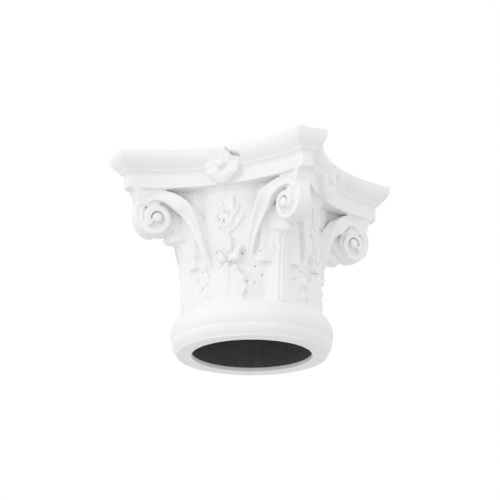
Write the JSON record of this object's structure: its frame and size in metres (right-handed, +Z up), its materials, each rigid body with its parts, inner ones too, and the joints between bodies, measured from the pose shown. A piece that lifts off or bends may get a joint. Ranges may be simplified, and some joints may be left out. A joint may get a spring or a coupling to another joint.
{
  "type": "corinthian capital",
  "caption": "White Corinthian column capital with acanthus leaves, corner scrolls, hollowed top slab with rosettes and a round through bore for the shaft.",
  "frame": {"origin": "centre of the ring's flat underside, on the axis of the bore", "axes": "+Z up along the bore axis to the top slab, X and Y square to the four faces, corners on the diagonals"},
  "size_m": [0.3424, 0.3424, 0.284],
  "materials": {
    "primed_white": "matte white primer on cast rigid polyurethane"
  },
  "bodies": {
    "root": {"capital": "primed_white"}
  },
  "joints": []
}
